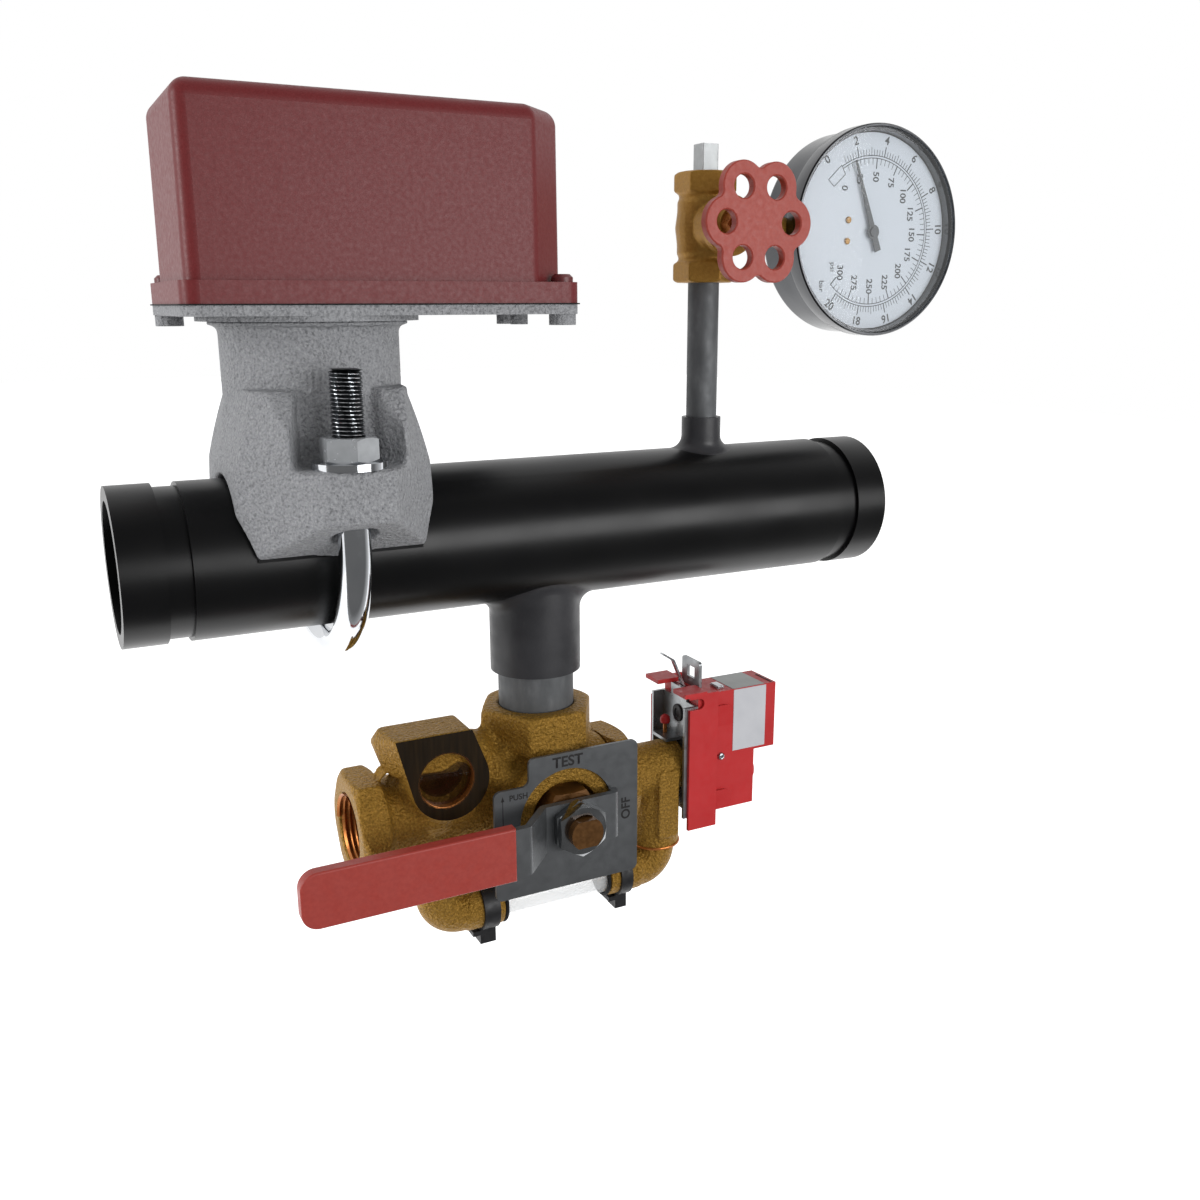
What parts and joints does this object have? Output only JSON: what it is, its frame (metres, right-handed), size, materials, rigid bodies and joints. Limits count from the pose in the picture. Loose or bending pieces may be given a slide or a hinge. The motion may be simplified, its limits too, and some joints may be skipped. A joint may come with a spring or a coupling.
{
  "type": "sprinkler floor control assembly",
  "caption": "Sprinkler riser section with vane flow switch, gauge valve with gauge, and a lever test-and-drain valve with sight glass, clear tube and relief unit.",
  "frame": {"origin": "centre of the inlet end's face, on the riser pipe's axis", "axes": "+X along the riser pipe from inlet to outlet, +Z towards the flow switch's cover; the handles face -Y"},
  "size_m": [0.3859, 0.1212, 0.3619],
  "materials": {
    "black_paint": "satin black enamel on steel",
    "galvanised": "dull zinc coat on steel",
    "grey_casting": "light grey coated casting, fine speckle",
    "bright_chrome": "bright chrome plate",
    "red_enamel": "textured maroon enamel",
    "red_screw": "maroon enamel",
    "black_rubber": "moulded black rubber",
    "clear_plastic": "clear rigid tube",
    "sheet_steel": "plain sheet steel",
    "bright_steel": "bright steel",
    "dark_plastic": "black moulded plastic",
    "white_plastic": "off-white moulded plastic",
    "brass_cast": "sand-cast brass",
    "brass_turned": "machined brass",
    "copper_alloy": "machined copper alloy",
    "zinc_plate": "bright zinc plate",
    "wheel_red": "coral red enamel",
    "gauge_metal": "polished dark case",
    "dial_white": "white enamelled dial",
    "clear_glass": "flat clear glass",
    "pointer_dark": "dark grey enamel",
    "red_vinyl": "dipped red vinyl",
    "housing_red": "moulded bright red",
    "seat_white": "white seat ring plastic"
  },
  "bodies": {
    "root": {"riser_pipe": "black_paint", "drain_outlet": "black_paint", "gauge_outlet": "black_paint", "drain_nipple": "galvanised", "gauge_nipple": "galvanised", "saddle_casting": "grey_casting", "saddle_gasket": "black_rubber", "u_bolt": "bright_chrome", "u_bolt_washers": "bright_chrome", "u_bolt_nuts": "bright_chrome", "switch_base_plate": "grey_casting", "cover_gasket": "black_rubber", "switch_cover": "red_enamel", "cover_screws": "red_screw", "base_plate_bolts": "grey_casting", "vane_pivot_pin": "bright_steel", "switch_frame": "galvanised", "retard_unit": "dark_plastic", "snap_switches": "dark_plastic", "gauge_valve_body": "brass_turned", "gauge_valve_bonnet": "brass_turned", "gauge_valve_gland": "copper_alloy", "test_port_plug": "zinc_plate", "gauge_socket": "brass_turned", "gauge_case": "gauge_metal", "gauge_bezel": "gauge_metal", "gauge_lens": "clear_glass", "gauge_dial": "dial_white", "gauge_movement": "brass_turned", "bourdon_tube": "copper_alloy", "drain_valve_body": "brass_cast", "sight_glass": "clear_glass", "ball_seats": "seat_white", "valve_tailpiece": "brass_cast", "stem_gland": "copper_alloy", "index_plate": "sheet_steel", "relief_tee": "brass_cast", "loop_elbows": "brass_cast", "clear_tube": "clear_plastic", "tube_seals": "black_rubber", "tube_clips": "dark_plastic", "relief_bracket": "zinc_plate", "relief_housing": "housing_red", "trip_plunger": "housing_red"},
    "lever_turn": {"ball": "bright_chrome", "valve_stem": "copper_alloy", "lever": "sheet_steel", "lever_sleeve": "red_vinyl", "lever_nuts": "bright_steel"},
    "gauge_disc": {"gauge_valve_disc": "black_rubber"},
    "gauge_wheel": {"gauge_valve_stem": "brass_turned", "handwheel": "wheel_red"},
    "pointer": {"gauge_pointer": "pointer_dark"},
    "vane": {"flow_vane": "dark_plastic", "vane_stem": "brass_turned"},
    "plunger": {"retard_plunger": "white_plastic"},
    "flush": {"flush_tab": "bright_steel"},
    "spring": {"release_spring": "bright_steel"},
    "poppet": {"relief_poppet": "black_rubber"},
    "knob": {"relief_knob": "housing_red"}
  },
  "joints": [
    {"name": "lever_turn_hinge", "type": "hinge", "parent": "root", "child": "lever_turn", "pos_m": [0.169, 0, -0.1223], "axis": [0, -1, 0], "range_deg": [0, 180]},
    {"name": "gauge_disc_slide", "type": "slide", "parent": "root", "child": "gauge_disc", "axis": [0, 1, 0], "range_m": [0, 0.0046]},
    {"name": "gauge_wheel_hinge", "type": "hinge", "parent": "gauge_disc", "child": "gauge_wheel", "pos_m": [0.2533, 0, 0.1252], "axis": [0, 1, 0], "range_deg": [0, 1080]},
    {"name": "pointer_hinge", "type": "hinge", "parent": "root", "child": "pointer", "pos_m": [0.3392, 0, 0.1252], "axis": [0, 1, 0], "range_deg": [-24.5, 245.5]},
    {"name": "vane_hinge", "type": "hinge", "parent": "root", "child": "vane", "pos_m": [0.078, 0, 0.044], "axis": [0, -1, 0], "range_deg": [0, 10], "stiffness_Nm_per_rad": 0.3},
    {"name": "plunger_slide", "type": "slide", "parent": "root", "child": "plunger", "axis": [-1, 0, 0], "range_m": [0, 0.0119]},
    {"name": "flush_slide", "type": "slide", "parent": "root", "child": "flush", "axis": [0, 0, 1], "range_m": [0, 0.006], "stiffness_N_per_m": 200},
    {"name": "spring_hinge", "type": "hinge", "parent": "root", "child": "spring", "pos_m": [0.2471, 0, -0.0853], "axis": [0, 1, 0], "range_deg": [0, 6], "stiffness_Nm_per_rad": 0.02},
    {"name": "poppet_slide", "type": "slide", "parent": "root", "child": "poppet", "axis": [1, 0, 0], "range_m": [0, 0.003]},
    {"name": "knob_slide", "type": "slide", "parent": "root", "child": "knob", "axis": [-1, 0, 0], "range_m": [0, 0.0025], "stiffness_N_per_m": 200}
  ],
  "couplings": [
    {"joint": "gauge_wheel_hinge", "follows": "gauge_disc_slide", "rad_per_m": 4097.7},
    {"joint": "plunger_slide", "follows": "vane_hinge", "m_per_rad": 0.068},
    {"joint": "poppet_slide", "follows": "flush_slide", "ratio": 0.5}
  ]
}
